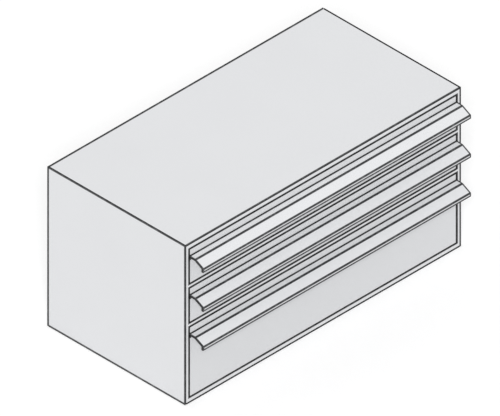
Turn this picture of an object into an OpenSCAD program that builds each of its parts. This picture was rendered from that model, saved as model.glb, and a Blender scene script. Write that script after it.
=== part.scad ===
// Drawer unit for an outdoor kitchen: a case of folded sheet, a front frame with three openings,
// and three drawers on ball-bearing slides, each with a folded front and a full-width lip handle.
// Millimetres. The origin is the centre of the case's footprint, on its underside.
// The front faces -Y, +X is to the right as seen from the front, and +Z is up.

/* [Case] */
// Width of the case over its side panels
case_w = 900; // [600:10:1200]
// Depth of the case, from the front face to the back panel
case_d = 450; // [400:5:650]
// Height of the case, from its underside to its top
case_h = 450; // [420:10:600]
// Thickness of the sheet that the case is folded from
case_sheet = 1.5; // [1:0.1:2]
// Inside radius of the folds in the case
case_bend = 0.5; // [0.3:0.1:1]
// Height of the flanges on the top and bottom panels
panel_flange = 20; // [14:1:24]
// Width of the rear flanges on the side panels
rear_flange = 15; // [12:1:20]

/* [Front frame] */
// Width of each stile, measured from the outside of the case
stile_w = 13; // [12:0.5:20]
// Height of the top rail, measured from the top of the case
top_rail_h = 15; // [12:1:30]
// Height of the bottom rail, measured from the underside
bottom_rail_h = 15; // [12:1:30]
// Height of the dividers between two openings
divider_h = 10; // [8:1:16]
// Depth of the returns folded back from the frame's face
frame_return = 18; // [14:1:24]

/* [Drawer fronts] */
// Height of each of the two shallow openings
shallow_h = 100; // [92:2:110]
// Shadow gap between a drawer front and the frame
front_gap = 3; // [2:0.1:4]
// Thickness of the sheet that the fronts are folded from
front_sheet = 1.2; // [1:0.1:1.6]
// Inside radius of the folds in the fronts
front_bend = 0.5; // [0.3:0.1:1]
// Depth of the folded fronts
front_depth = 15; // [12:1:18]
// Width of the rear lips at the two ends of a front
front_end_lip = 30; // [26:1:40]
// Width of the rear lips along a front's top and bottom
front_long_lip = 12; // [10:1:16]

/* [Handles] */
// Wall of the handle profile
handle_wall = 3.5; // [3:0.5:5]
// Radius of the handle profile's corners
handle_corner = 0.8; // [0.3:0.1:1.2]
// How far the handle's upper face lies below the top of its opening
handle_drop = 20; // [12:1:24]
// How far the level arm reaches out
arm_reach = 19; // [12:1:26]
// How much the arm falls over its reach
arm_fall = 0.7; // [0:0.1:2]
// How far the sloping part reaches out
slope_reach = 27; // [18:1:34]
// How much the sloping part falls
slope_fall = 14; // [8:1:18]
// Height of the lip at the handle's edge
lip_h = 10.5; // [8:0.5:16]
// Thickness of that lip, which makes a full edge for the fingers
lip_t = 6; // [4:0.5:8]
// Height of the root flange that lies on the drawer front
root_h = 10; // [9:0.5:14]

/* [Drawer boxes] */
// Thickness of the sheet of the boxes
box_sheet = 1.2; // [1:0.1:1.6]
// Inside radius of the folds in the boxes
box_bend = 0.5; // [0.3:0.1:1]
// Free height under a box, down to the bottom of its opening
box_below = 10; // [6:1:12]
// Free height over a box, up to the top of its opening
box_above = 15; // [10:1:17]
// Width of the hem along the top of a box side
box_hem = 8; // [6:0.5:10]
// Width of the flanges on a box front and a box back
box_flange = 12; // [8:1:14]

/* [Slides] */
// Room behind the closed slides, up to the back of the case
slide_rear_gap = 31; // [18:1:80]
// Height of a slide
slide_h = 45.7; // [44:0.1:48]
// Height of a slide's centre line over the underside of its box
slide_lift = 37.5; // [36:0.5:40]
// Thickness of a slide's three rails
rail_sheet = 1.2; // [1:0.1:1.3]
// Inside radius of the folds in the rails
rail_bend = 1; // [0.6:0.1:1.3]
// Length of the slots along the middle of each rail
rail_slot_len = 18; // [12:1:30]
// Half height of those slots
rail_slot_r = 2.5; // [1.5:0.1:3.5]
// Slots along an outer or a mid rail
rail_slots = 5; // [3:1:7]
// Radius of the balls
ball_r = 2; // [1.6:0.1:2.1]
// Thickness of the ball cages
cage_sheet = 0.4; // [0.3:0.1:0.5]
// Length of a ball cage
cage_len = 160; // [120:5:170]
// Balls in each row of a cage
row_balls = 6; // [4:1:7]
// Length of the rubber buffer at a slide's inner end
buffer_len = 6; // [4:1:8]
// Width of the uprights that carry the slides
upright_w = 30; // [24:1:40]
// Width of the two feet of an upright
upright_foot = 12; // [8:1:16]

/* [Fasteners] */
// Distance of the base nuts from the sides of the case
base_nut_side_inset = 40; // [15:1:120]
// Distance of the base nuts from the front and the back of the case
base_nut_end_inset = 40; // [25:1:120]
// Bore of the base nuts, the core of an M8 thread
base_nut_bore_r = 3.4; // [2.5:0.1:4]
// Shank radius of the M5 screws that hold the slides
slide_screw_r = 2.5; // [2:0.1:2.5]
// Shank radius of the M4 screws in the back panel, the fronts and the handles
screw_r = 2; // [1.5:0.1:2]
// Shank radius of the rivets that hold the inner rails
rivet_r = 1.6; // [1.4:0.1:2]
// Screws along each handle
handle_screws = 4; // [3:1:6]

/* [Fits] */
// Clearance between two sheets that lie on each other
seat = 0.1; // [0.05:0.01:0.15]
// Open seam between the panels of the case
seam = 2; // [0.7:0.1:2.5]
// Clearance of moving pieces that don't touch
running = 0.3; // [0.3:0.05:0.35]
// Clearance of a ball in its raceway
raceway_gap = 0.15; // [0.1:0.01:0.2]
// Clearance of a shank in its hole, on the radius
hole_gap = 0.05; // [0.02:0.01:0.1]
// Clearance between the sliding rails and the edge of their opening
slide_clear = 0.9; // [0.6:0.1:1.2]

/* [Hidden] */
CASE_NODES = [
    "top_panel", "bottom_panel", "left_side_panel", "right_side_panel", "back_panel", "front_frame",
    "front_left_upright", "front_right_upright", "rear_left_upright", "rear_right_upright",
    "back_screws", "base_nuts", "slide_screws", "slide_buffers"
];
DRAWER_PARTS = [
    "front", "handle", "tray", "box_front", "box_back", "screws", "rivets",
    "left_inner_rail", "right_inner_rail", "left_mid_rail", "right_mid_rail",
    "left_outer_rail", "right_outer_rail", "outer_cages", "inner_cages"
];
DRAWERS = [1, 2, 3];

arc_steps = 4;      // straight steps along a folded corner
over = 1;           // how far a cut runs past the surface that it opens

// Colours, as the drawing shows them
paint = [0.88, 0.885, 0.89];
front_paint = [0.83, 0.835, 0.845];
steel = [0.72, 0.73, 0.74];
zinc = [0.62, 0.64, 0.66];
cage_steel = [0.5, 0.51, 0.52];
rubber_black = [0.12, 0.12, 0.13];

// Planes of the case
front_y = -case_d / 2;
case_fold = case_bend + case_sheet;
side_x = case_w / 2 - case_sheet;
seat_x = side_x - seat;
cover_x = side_x - seam;
rear_y = case_d / 2 - case_sheet - seat;
frame_z0 = case_sheet + seam;
frame_z1 = case_h - case_sheet - seam;
frame_back = front_y + frame_return;
flange_gap = 1;

// Openings, counted from the top
window_x = case_w / 2 - stile_w;
deep_h = case_h - top_rail_h - bottom_rail_h - 2 * divider_h - 2 * shallow_h;
function opening_h(n) = n == 3 ? deep_h : shallow_h;
function opening_top(n) = case_h - top_rail_h - (n - 1) * (shallow_h + divider_h);
function opening_bottom(n) = opening_top(n) - opening_h(n);

// Section of a slide: u runs inwards from the upright, v upwards from the slide's centre line
outer_v = slide_h / 2;
outer_ball_v = outer_v - rail_sheet - raceway_gap - ball_r;
mid_v = outer_ball_v - ball_r - raceway_gap;
inner_ball_v = mid_v - rail_sheet - raceway_gap - ball_r;
inner_v = inner_ball_v - ball_r - raceway_gap;
outer_cage_u = rail_sheet + running;
mid_u = outer_cage_u + cage_sheet + running;
inner_cage_u = mid_u + rail_sheet + running;
inner_lip_u = inner_cage_u + cage_sheet + running + rail_sheet;
ball_u = inner_lip_u + raceway_gap + ball_r;
lip_u = ball_u + ball_r + raceway_gap;
slide_t = lip_u + rail_sheet + running + seat + rail_sheet;
// The lips that cradle the balls end in a short straight, so their fold is a little tighter than the raceway
cradle_bend = ball_r + raceway_gap - seat;
// The inner rail's lips are short, so they take a tighter fold
lip_bend = rail_bend - seat;

// Places of the slides
rail_x = window_x + mid_u - slide_clear;
upright_x = rail_x + seat;
slide_front = frame_back + 1;
slide_back = case_d / 2 - slide_rear_gap;
slide_len = slide_back - slide_front;
// A full-extension slide opens by its own length
travel = slide_len;
moving_back = slide_back - buffer_len - running;
cage_front = slide_front + travel / 4 + 8;
rivet_ys = spread(3, slide_front, moving_back);
upright_inset = 26;
upright_ys = [slide_front + upright_inset, slide_back - upright_inset];
function slide_z(n) = opening_bottom(n) + box_below + slide_lift;

// Places of the boxes and fronts
box_x = rail_x - slide_t - seat;
box_front_y = front_y + front_depth + seat;
front_x = window_x - front_gap;
// The handles stand before the face, so they span their whole opening
handle_x = window_x;
function box_bottom(n) = opening_bottom(n) + box_below;
function box_top(n) = opening_top(n) - box_above;
function handle_z(n) = opening_top(n) - handle_drop;

// Fastener shapes
back_screw_len = 8;
slide_screw_len = 7;
front_screw_len = 7;
cone_h = 2;
pan_head_h = 2;
nut_body_r = 7.5;
nut_body_h = 6;
nut_shank_r = 5.2;
rivet_head_h = 1.2;

function unit(v) = v / norm(v);
function left_of(v) = [-v.y, v.x];
function turned(v, angle) = [v.x * cos(angle) - v.y * sin(angle), v.x * sin(angle) + v.y * cos(angle)];
function backwards(list) = [for (i = [len(list) - 1:-1:0]) list[i]];

// Points of the arc of radius r that rounds the corner b between a and c
function corner_arc(a, b, c, r) =
    r <= 0 ? [b] :
    let (
        u = unit(a - b),
        v = unit(c - b),
        half = acos(u * v) / 2,
        centre = b + unit(u + v) * r / sin(half),
        spoke = b + u * r / tan(half) - centre,
        swing = -sign(cross(u, v)) * (180 - 2 * half)
    )
    [for (k = [0:arc_steps]) centre + turned(spoke, swing * k / arc_steps)];

// An outline with each corner rounded by its own radius
function rounded(points, radii) =
    let (n = len(points))
    [for (i = [0:n - 1]) each corner_arc(points[(i + n - 1) % n], points[i], points[(i + 1) % n], radii[i])];

// The path's point i, moved to the left by t with its corner kept sharp
function beside(path, i, t) =
    let (
        last = len(path) - 1,
        before = unit(i == 0 ? path[1] - path[0] : path[i] - path[i - 1]),
        after = unit(i == last ? path[last] - path[last - 1] : path[i + 1] - path[i]),
        a = left_of(before),
        b = left_of(after)
    )
    path[i] + t * (a + b) / (1 + a * b);

function turns_left(path, i) = cross(path[i] - path[i - 1], path[i + 1] - path[i]) > 0;
function inner_points(path) = [1:len(path) - 2];

// Outline of a strip of thickness t on the left of a path, its corners folded at the inside radii given
function folded(path, t, radii) =
    let (
        far = [for (i = [0:len(path) - 1]) beside(path, i, t)],
        near_r = [for (i = inner_points(path)) radii[i - 1] + (turns_left(path, i) ? t : 0)],
        far_r = [for (i = inner_points(path)) radii[i - 1] + (turns_left(path, i) ? 0 : t)]
    )
    rounded(concat(path, backwards(far)), concat([0], near_r, [0, 0], backwards(far_r), [0]));

function same_radius(path, r) = [for (i = inner_points(path)) r];

// Outline of the handle's profile: a wall of thickness t on the left of a path that ends in a lip of
// thickness tip_t, its corners all rounded by r
function handle_outline(path, t, tip_t, r) =
    let (
        lip = len(path) - 1,
        wall = [for (i = [0:lip - 1]) beside(path, i, t)],
        slope = wall[lip - 1] - wall[lip - 2],
        run = (path[lip].x + tip_t - wall[lip - 1].x) / slope.x,
        tip = [path[lip] + [tip_t, 0], wall[lip - 1] + run * slope],
        outline = concat(path, tip, [for (i = [lip - 2:-1:0]) wall[i]])
    )
    rounded(outline, [for (point = outline) r]);

// Extrudes a (y, z) outline along X, centred
module along_x(length) {
    translate([-length / 2, 0, 0])
        rotate([90, 0, 90])
            linear_extrude(length)
                children();
}

// Extrudes an (x, z) outline along Y
module along_y(from, to) {
    translate([0, to, 0])
        rotate([90, 0, 0])
            linear_extrude(to - from)
                children();
}

// Extrudes an (x, y) outline along Z
module along_z(from, to) {
    translate([0, 0, from])
        linear_extrude(to - from)
            children();
}

module both_sides() {
    children();
    mirror([1, 0, 0])
        children();
}

module on_side(side) {
    if (side == "left")
        children();
    else
        mirror([1, 0, 0])
            children();
}

// A box from one corner to the opposite one
module block(low, high) {
    translate(low)
        cube(high - low);
}

// A block of half width x whose four front edges are rounded
module soft_front_block(x, z0, z1, y0, y1, r) {
    intersection() {
        along_z(z0, z1)
            polygon(rounded([[-x, y0], [x, y0], [x, y1], [-x, y1]], [r, r, 0, 0]));
        along_x(2 * x)
            polygon(rounded([[y0, z0], [y1, z0], [y1, z1], [y0, z1]], [r, 0, 0, r]));
    }
}

// A rectangular hole of half width x whose front edges are rounded outwards
module soft_window(x, z0, z1, y0, y1, r) {
    wide = r + over;
    intersection() {
        along_z(z0 - wide, z1 + wide)
            polygon(rounded(
                [[-x - wide, y0 - over], [x + wide, y0 - over], [x + wide, y0], [x, y0],
                 [x, y1], [-x, y1], [-x, y0], [-x - wide, y0]],
                [0, 0, 0, r, 0, 0, r, 0]));
        along_x(2 * (x + wide))
            polygon(rounded(
                [[y0 - over, z0 - wide], [y0, z0 - wide], [y0, z0], [y1, z0],
                 [y1, z1], [y0, z1], [y0, z1 + wide], [y0 - over, z1 + wide]],
                [0, 0, r, 0, 0, r, 0, 0]));
    }
}

// Screw with a countersunk head, its top at the origin and its tip along -Z
module flat_screw(r, length, gap) {
    head_r = r + cone_h * 0.85;
    translate([0, 0, -cone_h])
        cylinder(r1 = r + gap, r2 = head_r + gap, h = cone_h, $fn = 32);
    translate([0, 0, -length - gap])
        cylinder(r = r + gap, h = length + gap - cone_h / 2, $fn = 32);
}

// Screw with a low pan head that stands on the origin, its tip along -Z
module pan_screw(r, length) {
    cylinder(r = 1.9 * r, h = pan_head_h, $fn = 32);
    translate([0, 0, -length])
        cylinder(r = r, h = length + pan_head_h / 2, $fn = 32);
}

// Places of count things spread evenly from one end to the other
function spread(count, from, to) = [for (i = [0:count - 1]) from + (to - from) * (i + 0.5) / count];

// Places halfway between neighbours of a list
function between(places) = [for (i = [1:len(places) - 1]) (places[i - 1] + places[i]) / 2];

// Embossed spots that space two sheets one seam apart, standing up from the origin
module spacer_dimple() {
    translate([0, 0, -case_sheet / 2])
        cylinder(r1 = 4, r2 = 3, h = case_sheet / 2 + seam - seat, $fn = 32);
}

// Lid of folded sheet: a plate with a flange down its left, right and rear edges
module cover_sheet() {
    low = case_h - panel_flange;
    notch_z = case_h - case_sheet - seam / 2;
    difference() {
        intersection() {
            along_y(front_y, rear_y)
                polygon(rounded(
                    [[-cover_x, low], [cover_x, low], [cover_x, case_h], [-cover_x, case_h]],
                    [0, 0, case_fold, case_fold]));
            along_x(2 * cover_x)
                polygon(rounded(
                    [[front_y, low], [rear_y, low], [rear_y, case_h], [front_y, case_h]],
                    [0, 0, case_fold, 0]));
        }
        intersection() {
            along_y(front_y - over, rear_y - case_sheet)
                polygon(rounded(
                    [[case_sheet - cover_x, low - over], [cover_x - case_sheet, low - over],
                     [cover_x - case_sheet, case_h - case_sheet], [case_sheet - cover_x, case_h - case_sheet]],
                    [0, 0, case_bend, case_bend]));
            along_x(2 * cover_x)
                polygon(rounded(
                    [[front_y - over, low - over], [rear_y - case_sheet, low - over],
                     [rear_y - case_sheet, case_h - case_sheet], [front_y - over, case_h - case_sheet]],
                    [0, 0, case_bend, 0]));
        }
        // The flanges stop behind the front frame
        block([-case_w, front_y - over, low - over], [case_w, frame_back + flange_gap, notch_z]);
    }
    both_sides()
        for (y = spread(4, frame_back, rear_y))
            translate([cover_x, y, case_h - panel_flange / 2])
                rotate([0, 90, 0])
                    spacer_dimple();
}

back_screw_xs = [-0.5, 0, 0.5] * (case_w / 2);
back_screw_zs = [0.15, 0.5, 0.85] * case_h;

// Places of the back panel's screws, with the children's Z out of the back
module at_back_screws() {
    edge = 8;
    for (x = back_screw_xs)
        for (z = [edge, case_h - edge])
            translate([x, case_d / 2, z])
                rotate([-90, 0, 0])
                    children();
    for (z = back_screw_zs)
        both_sides()
            translate([case_w / 2 - edge, case_d / 2, z])
                rotate([-90, 0, 0])
                    children();
}

module back_screw_cuts() {
    at_back_screws()
        flat_screw(screw_r, back_screw_len, hole_gap);
}

module top_panel() {
    color(paint)
        difference() {
            cover_sheet();
            back_screw_cuts();
        }
}

base_pitch_x = case_w - 2 * base_nut_side_inset;
base_pitch_y = case_d - 2 * base_nut_end_inset;

module at_base_nuts() {
    for (x = [-0.5, 0.5] * base_pitch_x)
        for (y = [-0.5, 0.5] * base_pitch_y)
            translate([x, y, 0])
                children();
}

module bottom_panel() {
    color(paint)
        difference() {
            translate([0, 0, case_h])
                mirror([0, 0, 1])
                    cover_sheet();
            back_screw_cuts();
            at_base_nuts()
                translate([0, 0, -over])
                    cylinder(r = nut_shank_r + hole_gap, h = case_sheet + 2 * over, $fn = 48);
        }
}

// Press-in nuts: the shank fills the sheet flush with the underside, the body stands inside
module base_nuts() {
    color(zinc)
        at_base_nuts()
            difference() {
                union() {
                    cylinder(r = nut_shank_r, h = case_sheet + seat + 1, $fn = 48);
                    translate([0, 0, case_sheet + seat])
                        cylinder(r = nut_body_r, h = nut_body_h, $fn = 48);
                }
                translate([0, 0, -over])
                    cylinder(r = base_nut_bore_r, h = case_sheet + nut_body_h + 2 * over, $fn = 48);
            }
}

// Left side panel: a plate with a flange turned in behind the back panel's edge
module side_sheet() {
    flange_z = panel_flange + flange_gap;
    difference() {
        union() {
            block([-case_w / 2, front_y, 0], [-side_x, rear_y - case_fold, case_h]);
            along_z(flange_z, case_h - flange_z)
                polygon(folded(
                    [[rear_flange - case_w / 2, rear_y], [-case_w / 2, rear_y],
                     [-case_w / 2, rear_y - rear_flange]],
                    case_sheet, [case_bend]));
        }
        back_screw_cuts();
    }
}

module left_side_panel() {
    color(paint)
        side_sheet();
}

module right_side_panel() {
    color(paint)
        mirror([1, 0, 0])
            side_sheet();
}

module back_panel() {
    color(paint)
        difference() {
            along_y(rear_y + seat, case_d / 2)
                polygon(rounded(
                    [[-case_w / 2, 0], [case_w / 2, 0], [case_w / 2, case_h], [-case_w / 2, case_h]],
                    [1, 1, 1, 1]));
            back_screw_cuts();
        }
}

module back_screws() {
    color(steel)
        at_back_screws()
            translate([0, 0, -hole_gap])
                flat_screw(screw_r, back_screw_len, 0);
}

// Face frame: a plate with returns round its outside and round each opening
module front_frame() {
    color(paint) {
        difference() {
            union() {
                difference() {
                    soft_front_block(cover_x, frame_z0, frame_z1, front_y, frame_back, case_fold);
                    soft_front_block(
                        cover_x - case_sheet, frame_z0 + case_sheet, frame_z1 - case_sheet,
                        front_y + case_sheet, frame_back + over, case_bend);
                }
                for (n = DRAWERS)
                    block(
                        [-window_x - case_sheet, front_y + case_sheet / 2, opening_bottom(n) - case_sheet],
                        [window_x + case_sheet, frame_back, opening_top(n) + case_sheet]);
            }
            for (n = DRAWERS)
                soft_window(
                    window_x, opening_bottom(n), opening_top(n),
                    front_y, frame_back + over, case_fold);
        }
        both_sides()
            for (z = spread(3, frame_z0, frame_z1))
                translate([cover_x, frame_back - 6, z])
                    rotate([0, 90, 0])
                        spacer_dimple();
        for (x = spread(5, -cover_x, cover_x)) {
            translate([x, frame_back - 6, frame_z1])
                spacer_dimple();
            translate([x, frame_back - 6, frame_z0])
                rotate([180, 0, 0])
                    spacer_dimple();
        }
    }
}

// Upright on the left: a hat section whose feet lie on the side panel
module upright(y) {
    half = upright_w / 2;
    back = -upright_x - case_sheet;
    path = [
        [-seat_x, y + half + upright_foot], [-seat_x, y + half], [back, y + half],
        [back, y - half], [-seat_x, y - half], [-seat_x, y - half - upright_foot]
    ];
    color(zinc)
        difference() {
            along_z(panel_flange + flange_gap, case_h - panel_flange - flange_gap)
                polygon(folded(path, case_sheet, same_radius(path, case_bend)));
            slide_screw_cuts();
        }
}

module front_left_upright() {
    upright(upright_ys[0]);
}

module rear_left_upright() {
    upright(upright_ys[1]);
}

module front_right_upright() {
    mirror([1, 0, 0])
        upright(upright_ys[0]);
}

module rear_right_upright() {
    mirror([1, 0, 0])
        upright(upright_ys[1]);
}

// Places of the screws of the left slides, with the children's Z towards the drawer
module at_slide_screws() {
    for (n = DRAWERS)
        for (y = upright_ys)
            translate([-rail_x + rail_sheet, y, slide_z(n)])
                rotate([0, 90, 0])
                    children();
}

module slide_screw_cuts() {
    at_slide_screws()
        flat_screw(slide_screw_r, slide_screw_len, hole_gap);
}

module slide_screws() {
    color(steel)
        both_sides()
            at_slide_screws()
                translate([0, 0, -hole_gap])
                    flat_screw(slide_screw_r, slide_screw_len, 0);
}

// Puts the section of drawer n's left slide in place and runs it from one end to the other
module slide_run(n, from, to) {
    translate([-rail_x, 0, slide_z(n)])
        along_y(from, to)
            children();
}

// Slots through the web of one of drawer n's left rails, centred on the places given
module rail_slot_cuts(n, places) {
    straight = rail_slot_len - 2 * rail_slot_r;
    for (y = places)
        translate([-rail_x, y, slide_z(n)]) {
            cube([3 * slide_t, straight, 2 * rail_slot_r], center = true);
            for (end = [-0.5, 0.5] * straight)
                translate([0, end, 0])
                    rotate([0, 90, 0])
                        cylinder(r = rail_slot_r, h = 3 * slide_t, center = true, $fn = 32);
        }
}

// Pressed stops that keep a cage from rolling out of the ends of its raceway
module ball_stops(n, from, to, v_low, v_high) {
    stop_len = 1.5;
    for (y = [from, to - stop_len])
        for (flip = [0, 1])
            slide_run(n, y, y + stop_len)
                mirror([0, flip])
                    polygon([
                        [ball_u - 1, v_low], [ball_u + 1, v_low],
                        [ball_u + 1.8, v_high], [ball_u - 1.8, v_high]]);
}

// Outer rail: a channel whose lips cradle the outer balls
module outer_rail(n) {
    edge = lip_u + rail_sheet;
    path = [
        [edge, outer_ball_v], [edge, outer_v], [0, outer_v],
        [0, -outer_v], [edge, -outer_v], [edge, -outer_ball_v]
    ];
    color(zinc)
        difference() {
            union() {
                slide_run(n, slide_front, slide_back)
                    polygon(folded(path, rail_sheet, [cradle_bend, rail_bend, rail_bend, cradle_bend]));
                ball_stops(n, slide_front, slide_back, outer_ball_v - 1, outer_v - rail_sheet / 2);
            }
            slide_screw_cuts();
            rail_slot_cuts(n, spread(rail_slots, upright_ys[0], upright_ys[1]));
        }
}

// Mid rail: it rolls on the outer balls and cradles the inner ones
module mid_rail(n) {
    edge = lip_u + rail_sheet;
    path = [
        [edge, inner_ball_v], [edge, mid_v], [mid_u, mid_v],
        [mid_u, -mid_v], [edge, -mid_v], [edge, -inner_ball_v]
    ];
    color(zinc) {
        difference() {
            slide_run(n, slide_front, moving_back)
                polygon(folded(path, rail_sheet, [cradle_bend, rail_bend, rail_bend, cradle_bend]));
            rail_slot_cuts(n, spread(rail_slots, slide_front, moving_back));
        }
        ball_stops(n, slide_front, moving_back, inner_ball_v - 1, mid_v - rail_sheet / 2);
    }
}

// Inner rail: riveted to the box side, its lips turned out round the inner balls
module inner_rail(n) {
    back = slide_t;
    lip_v = inner_ball_v - cage_sheet / 2 - running;
    path = [
        [inner_lip_u, -lip_v], [inner_lip_u, -inner_v], [back, -inner_v],
        [back, inner_v], [inner_lip_u, inner_v], [inner_lip_u, lip_v]
    ];
    color(zinc)
        difference() {
            slide_run(n, slide_front, moving_back)
                polygon(folded(path, rail_sheet, [lip_bend, rail_bend, rail_bend, lip_bend]));
            at_rivets(n)
                cylinder(r = rivet_r + hole_gap, h = 4 * slide_t, center = true, $fn = 32);
            rail_slot_cuts(n, between(rivet_ys));
        }
}

// A cage with its balls: a thin channel with a hole for each ball
module ball_cage(n, web_u, ball_v) {
    edge_u = lip_u - running;
    edge_v = ball_v + cage_sheet / 2;
    places = spread(row_balls, cage_front, cage_front + cage_len);
    slot_w = 0.6 * cage_len / row_balls;
    color(cage_steel)
        difference() {
            slide_run(n, cage_front, cage_front + cage_len)
                polygon(folded(
                    [[edge_u, edge_v], [web_u, edge_v], [web_u, -edge_v], [edge_u, -edge_v]],
                    cage_sheet, [cage_sheet, cage_sheet]));
            for (y = places)
                translate([ball_u - rail_x, y, slide_z(n)]) {
                    cylinder(r = ball_r + hole_gap, h = 3 * slide_h, center = true, $fn = 32);
                    // A window in the web beside each pair of balls
                    block([-ball_u, -slot_w / 2, -ball_v / 2], [web_u + over - ball_u, slot_w / 2, ball_v / 2]);
                }
        }
    color(steel)
        for (y = places)
            for (v = [-ball_v, ball_v])
                translate([ball_u - rail_x, y, slide_z(n) + v])
                    sphere(r = ball_r, $fn = 24);
}

module outer_cages(n) {
    both_sides()
        ball_cage(n, outer_cage_u, outer_ball_v);
}

module inner_cages(n) {
    both_sides()
        ball_cage(n, inner_cage_u, inner_ball_v);
}

// Rubber stops at the inner ends of the outer rails
module slide_buffers() {
    reach = outer_ball_v - ball_r - raceway_gap - running;
    color(rubber_black)
        both_sides()
            for (n = DRAWERS)
                slide_run(n, slide_back - buffer_len, slide_back)
                    polygon(rounded(
                        [[rail_sheet + seat, -reach], [lip_u - running, -reach],
                         [lip_u - running, reach], [rail_sheet + seat, reach]],
                        [0, 2, 2, 0]));
}

// Folded front: a shallow pan with lips turned in behind
module drawer_front(n) {
    low = opening_bottom(n) + front_gap;
    high = opening_top(n) - front_gap;
    back = front_y + front_depth;
    color(front_paint)
        difference() {
            soft_front_block(front_x, low, high, front_y, back, front_bend + front_sheet);
            soft_front_block(
                front_x - front_sheet, low + front_sheet, high - front_sheet,
                front_y + front_sheet, back - front_sheet, front_bend);
            block(
                [front_end_lip - front_x, back - 2 * front_sheet, low + front_long_lip],
                [front_x - front_end_lip, back + over, high - front_long_lip]);
            at_front_screws(n)
                cylinder(r = screw_r + hole_gap, h = 2 * front_screw_len, center = true, $fn = 32);
            at_handle_screws(n)
                cylinder(r = screw_r + hole_gap, h = 4 * front_sheet, center = true, $fn = 32);
        }
}

// Places of the screws that hold the box to its front, with the children's Z into the box
module at_front_screws(n) {
    inset = (box_x - (front_x - front_end_lip)) / 2 + box_sheet;
    for (z = [box_bottom(n) + 16, box_top(n) - 16])
        both_sides()
            translate([box_x - inset, box_front_y + box_sheet, z])
                rotate([-90, 0, 0])
                    children();
}

// Places of the handle screws, behind the front's face, with the children's Z into the box
module at_handle_screws(n) {
    for (x = spread(handle_screws, -front_x, front_x))
        translate([x, front_y + front_sheet, handle_z(n) - handle_wall - (root_h - handle_wall) / 2])
            rotate([-90, 0, 0])
                children();
}

// Lip handle: an extruded profile with a root flange, a level arm, a slope and a lip
module handle(n) {
    root_y = front_y - seat;
    arm_y = front_y - arm_reach;
    edge_y = arm_y - slope_reach;
    top = handle_z(n);
    path = [
        [root_y, top - root_h], [root_y, top], [arm_y, top - arm_fall],
        [edge_y, top - arm_fall - slope_fall], [edge_y, top - arm_fall - slope_fall - lip_h]
    ];
    blind = handle_wall - 0.6;
    color(paint)
        difference() {
            along_x(2 * handle_x)
                polygon(handle_outline(path, handle_wall, lip_t, handle_corner));
            at_handle_screws(n)
                translate([0, 0, -front_sheet - seat - blind])
                    cylinder(r = screw_r + hole_gap, h = blind + 2 * seat, $fn = 32);
        }
}

module drawer_screws(n) {
    color(steel) {
        at_front_screws(n)
            pan_screw(screw_r, front_screw_len);
        at_handle_screws(n)
            pan_screw(screw_r, front_sheet + seat + handle_wall - 1);
    }
}

// Tray: floor and sides of the box, folded from one sheet with a hem along the top
module tray(n) {
    low = box_bottom(n);
    high = box_top(n);
    path = [
        [box_hem - box_x, high], [-box_x, high], [-box_x, low],
        [box_x, low], [box_x, high], [box_x - box_hem, high]
    ];
    color(steel)
        difference() {
            along_y(box_front_y, moving_back)
                polygon(folded(path, box_sheet, same_radius(path, box_bend)));
            both_sides()
                at_rivets(n)
                    cylinder(r = rivet_r + hole_gap, h = 4 * slide_t, center = true, $fn = 32);
        }
}

// End wall of a box, its face at y and its flanges running from it by the given length
module end_wall(n, y, reach) {
    low = box_bottom(n) + box_sheet + box_bend;
    high = box_top(n) - box_sheet - box_bend;
    x = box_x - box_sheet - seat;
    inner_y = y + sign(reach) * box_sheet;
    difference() {
        intersection() {
            along_z(low, high)
                polygon(rounded(
                    [[-x, y], [x, y], [x, y + reach], [-x, y + reach]],
                    [box_bend + box_sheet, box_bend + box_sheet, 0, 0]));
            along_x(2 * x)
                polygon(rounded(
                    [[y, low], [y + reach, low], [y + reach, high], [y, high]],
                    [0, 0, 0, box_bend + box_sheet]));
        }
        intersection() {
            along_z(low - over, high - box_sheet)
                polygon(rounded(
                    [[box_sheet - x, inner_y], [x - box_sheet, inner_y],
                     [x - box_sheet, y + 2 * reach], [box_sheet - x, y + 2 * reach]],
                    [box_bend, box_bend, 0, 0]));
            along_x(2 * x)
                polygon(rounded(
                    [[inner_y, low - over], [y + 2 * reach, low - over],
                     [y + 2 * reach, high - box_sheet], [inner_y, high - box_sheet]],
                    [0, 0, 0, box_bend]));
        }
    }
}

module box_front(n) {
    color(steel)
        difference() {
            end_wall(n, box_front_y, box_flange);
            at_front_screws(n)
                cylinder(r = screw_r + hole_gap, h = 2 * front_screw_len, center = true, $fn = 32);
        }
}

module box_back(n) {
    color(steel)
        end_wall(n, moving_back, -box_flange);
}

// Places of the rivets of the left inner rail, with the children's Z into the box
module at_rivets(n) {
    for (y = rivet_ys)
        translate([-rail_x + slide_t - rail_sheet, y, slide_z(n)])
            rotate([0, 90, 0])
                children();
}

module rivet() {
    grip = rail_sheet + seat + box_sheet;
    translate([0, 0, -rivet_head_h])
        cylinder(r = 2 * rivet_r, h = rivet_head_h, $fn = 32);
    translate([0, 0, -rivet_head_h / 2])
        cylinder(r = rivet_r, h = grip + rivet_head_h, $fn = 32);
    translate([0, 0, grip])
        cylinder(r1 = 1.7 * rivet_r, r2 = rivet_r, h = rivet_head_h, $fn = 32);
}

module drawer_rivets(n) {
    color(steel)
        both_sides()
            at_rivets(n)
                rivet();
}

top_panel();
bottom_panel();
left_side_panel();
right_side_panel();
back_panel();
front_frame();
front_left_upright();
front_right_upright();
rear_left_upright();
rear_right_upright();
back_screws();
base_nuts();
slide_screws();
slide_buffers();
for (n = DRAWERS) {
    drawer_front(n);
    handle(n);
    tray(n);
    box_front(n);
    box_back(n);
    drawer_screws(n);
    drawer_rivets(n);
    for (side = ["left", "right"]) {
        on_side(side) inner_rail(n);
        on_side(side) mid_rail(n);
        on_side(side) outer_rail(n);
    }
    outer_cages(n);
    inner_cages(n);
}
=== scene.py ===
"""The looks of an outdoor kitchen drawer unit: its finishes, its fasteners, and a plain studio round it."""

import math

import bpy
from mathutils import Matrix, Vector


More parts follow.
